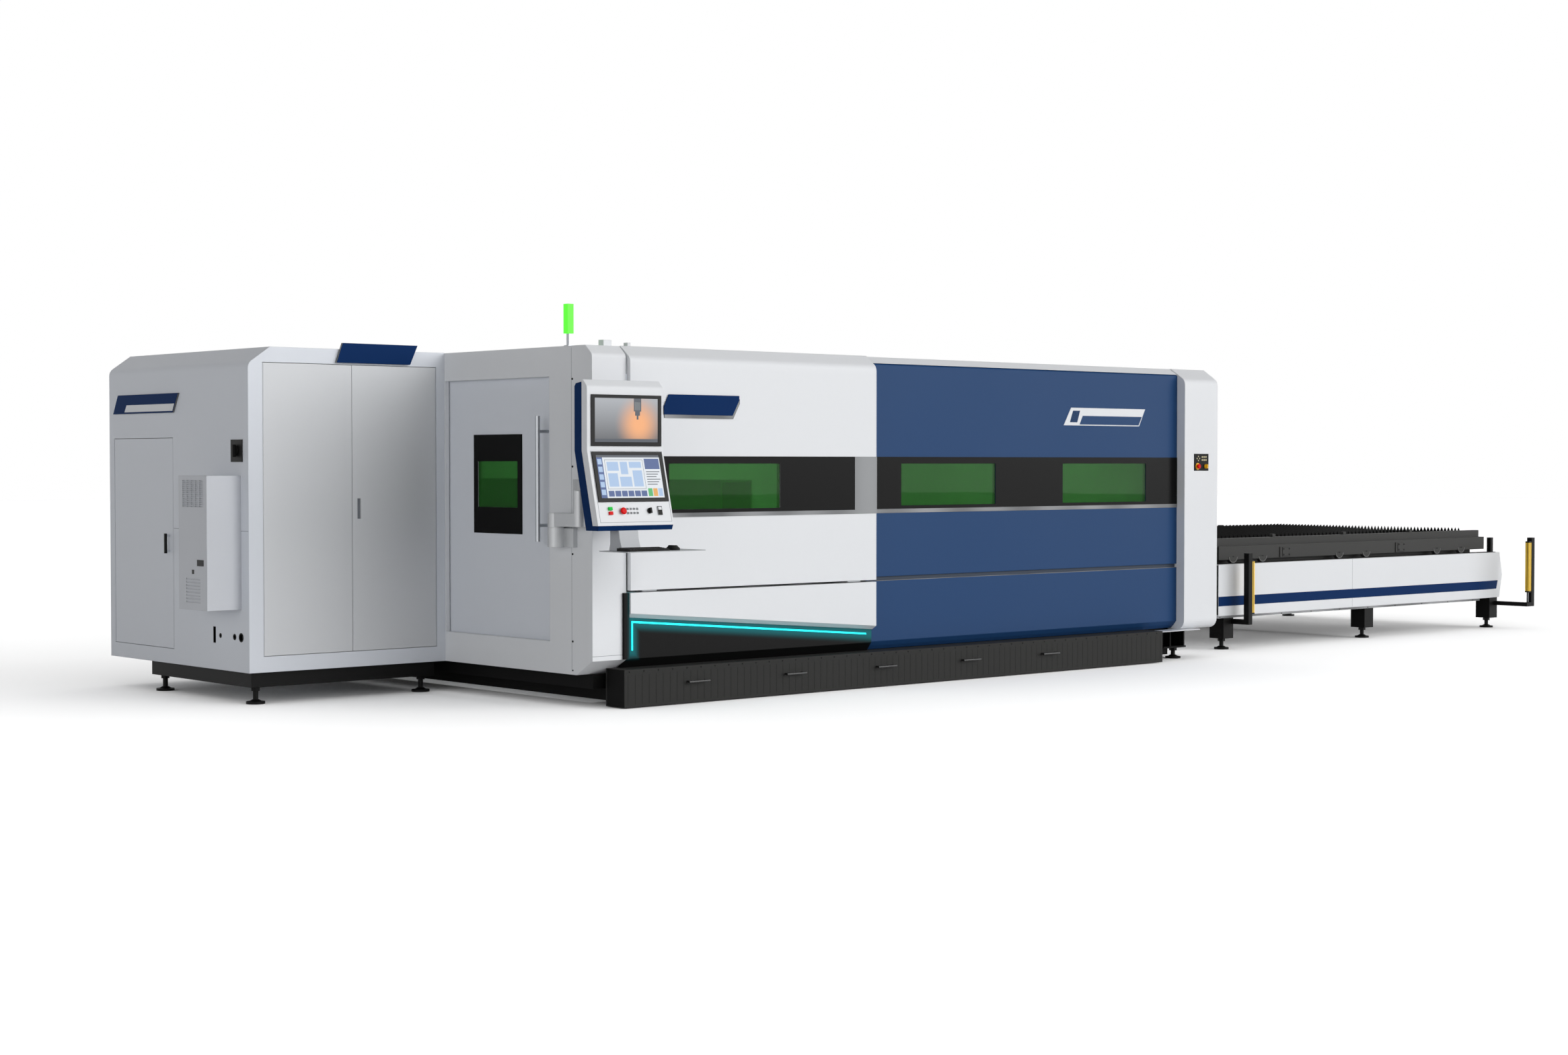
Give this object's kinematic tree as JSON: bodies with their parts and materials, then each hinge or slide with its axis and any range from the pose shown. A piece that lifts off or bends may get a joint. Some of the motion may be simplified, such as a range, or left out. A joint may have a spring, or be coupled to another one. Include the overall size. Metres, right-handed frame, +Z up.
{
  "type": "fiber laser cutting machine",
  "caption": "Enclosed flat-bed laser cutter with a sliding hood and end door, console on a swing arm, power cabinet, portal and shuttle table with a toothed slat pallet.",
  "frame": {"origin": "floor level under the centre of the machine's outline", "axes": "+X to the right along the front, from the cabinet to the shuttle table; +Y to the back; +Z up"},
  "size_m": [12.843, 4.2, 2.565],
  "materials": {
    "white_paint": "satin",
    "grey_paint": "satin",
    "blue_paint": "satin",
    "navy_paint": "satin",
    "black_paint": "satin",
    "dark_steel": "matte",
    "bright_steel": "brushed",
    "green_glass": "tinted",
    "dark_band": "gloss",
    "lamp_plastic": "gloss",
    "light_plastic": "gloss",
    "yellow_paint": "satin",
    "red_plastic": "gloss",
    "green_plastic": "gloss",
    "screen_plastic": "gloss",
    "black_plastic": "matte"
  },
  "bodies": {
    "machine": {"bed_frame": "dark_steel", "levelling_feet": "black_paint", "end_panel": "grey_paint", "roof_panel": "white_paint", "rear_panel": "grey_paint", "lower_front_panel": "white_paint", "light_panel": "black_paint", "light_strip": "light_plastic", "fixed_front_panel": "blue_paint", "fixed_panel_glass": "dark_band", "fixed_panel_windows": "green_glass", "fixed_panel_trim": "bright_steel", "plinth_cover": "dark_steel", "plinth_handles": "black_paint", "portal_frame": "white_paint", "column_plate": "black_paint", "signal_mast": "bright_steel", "signal_lamp": "lamp_plastic", "arm_bracket": "grey_paint", "cabinet_shell": "grey_paint", "cabinet_base": "black_paint", "air_conditioner": "white_paint", "power_switch_plate": "black_plastic", "laser_source": "dark_steel", "table_frame": "black_paint", "table_panels": "white_paint", "light_curtain_posts": "black_paint", "light_curtains": "yellow_paint"},
    "hood": {"front_door": "white_paint", "front_door_glass": "dark_band", "front_door_window": "green_glass", "front_door_trim": "bright_steel"},
    "side_door": {"end_door": "grey_paint", "end_door_glass": "dark_band", "end_door_window": "green_glass", "end_door_handle": "bright_steel"},
    "arm": {"swing_arm": "grey_paint"},
    "console": {"console_front": "white_paint", "console_rear": "navy_paint", "upper_monitor": "screen_plastic", "touch_screen": "screen_plastic", "keyboard_tray": "white_paint", "keyboard": "black_plastic", "mouse": "black_plastic"},
    "start_key": {"start_button": "green_plastic"},
    "stop_key": {"stop_button": "red_plastic"},
    "console_stop": {"console_stop_button": "red_plastic"},
    "selector": {"mode_knob": "black_plastic"},
    "column_stop": {"column_stop_button": "red_plastic"},
    "column_turn": {"column_switch": "yellow_paint"},
    "left_door": {"left_cabinet_door": "white_paint"},
    "right_door": {"right_cabinet_door": "white_paint"},
    "service_door": {"access_door": "grey_paint"},
    "power_knob": {"power_switch_knob": "black_plastic"},
    "pallet": {"pallet_frame": "dark_steel", "pallet_slats": "dark_steel", "pallet_wheels": "bright_steel"},
    "gantry": {"gantry_beam": "bright_steel"},
    "cross_carriage": {"carriage": "dark_steel"},
    "head": {"cutting_head": "bright_steel"}
  },
  "joints": [
    {"name": "hood_slide", "type": "slide", "parent": "machine", "child": "hood", "axis": [1, 0, 0], "range_m": [0, 2.1]},
    {"name": "end_door_slide", "type": "slide", "parent": "machine", "child": "side_door", "axis": [0, 1, 0], "range_m": [0, 1.09]},
    {"name": "arm_swing", "type": "hinge", "parent": "machine", "child": "arm", "pos_m": [-4.7505, -1.191, 1.14], "axis": [0, 0, 1], "range_deg": [-90, 0]},
    {"name": "console_swivel", "type": "hinge", "parent": "arm", "child": "console", "pos_m": [-4.7505, -1.439, 1.25], "axis": [0, 0, 1], "range_deg": [-45, 15]},
    {"name": "start_press", "type": "slide", "parent": "console", "child": "start_key", "axis": [0, 0.9725, -0.2331], "range_m": [0, 0.004], "stiffness_N_per_m": 600},
    {"name": "stop_press", "type": "slide", "parent": "console", "child": "stop_key", "axis": [0, 0.9725, -0.2331], "range_m": [0, 0.004], "stiffness_N_per_m": 600},
    {"name": "console_stop_press", "type": "slide", "parent": "console", "child": "console_stop", "axis": [0, 0.9725, -0.2331], "range_m": [0, 0.004], "stiffness_N_per_m": 600},
    {"name": "selector_turn", "type": "hinge", "parent": "console", "child": "selector", "pos_m": [-4.5635, -1.90703, 1.25752], "axis": [0, 0.9725, -0.2331], "range_deg": [-60, 60]},
    {"name": "column_stop_press", "type": "slide", "parent": "machine", "child": "column_stop", "axis": [0, 1, 0], "range_m": [0, 0.004], "stiffness_N_per_m": 600},
    {"name": "column_switch_turn", "type": "hinge", "parent": "machine", "child": "column_turn", "pos_m": [1.3865, -1.526, 1.528], "axis": [0, 1, 0], "range_deg": [-45, 45]},
    {"name": "left_door_hinge", "type": "hinge", "parent": "machine", "child": "left_door", "pos_m": [-6.0642, 0.174, 1.255], "axis": [0, 0, 1], "range_deg": [-90, 0]},
    {"name": "right_door_hinge", "type": "hinge", "parent": "machine", "child": "right_door", "pos_m": [-4.7668, 0.174, 1.255], "axis": [0, 0, 1], "range_deg": [0, 90]},
    {"name": "service_door_hinge", "type": "hinge", "parent": "machine", "child": "service_door", "pos_m": [-6.1685, 2.0177, 1.015], "axis": [0, 0, 1], "range_deg": [-90, 0]},
    {"name": "power_knob_turn", "type": "hinge", "parent": "machine", "child": "power_knob", "pos_m": [-6.1858, 0.306, 1.632], "axis": [1, 0, 0], "range_deg": [0, 90]},
    {"name": "pallet_slide", "type": "slide", "parent": "machine", "child": "pallet", "axis": [1, 0, 0], "range_m": [-5.15, 0]},
    {"name": "gantry_travel", "type": "slide", "parent": "machine", "child": "gantry", "axis": [1, 0, 0], "range_m": [-0.7, 4]},
    {"name": "carriage_travel", "type": "slide", "parent": "gantry", "child": "cross_carriage", "axis": [0, 1, 0], "range_m": [-1, 1]},
    {"name": "head_lift", "type": "slide", "parent": "cross_carriage", "child": "head", "axis": [0, 0, 1], "range_m": [-0.13, 0]}
  ]
}
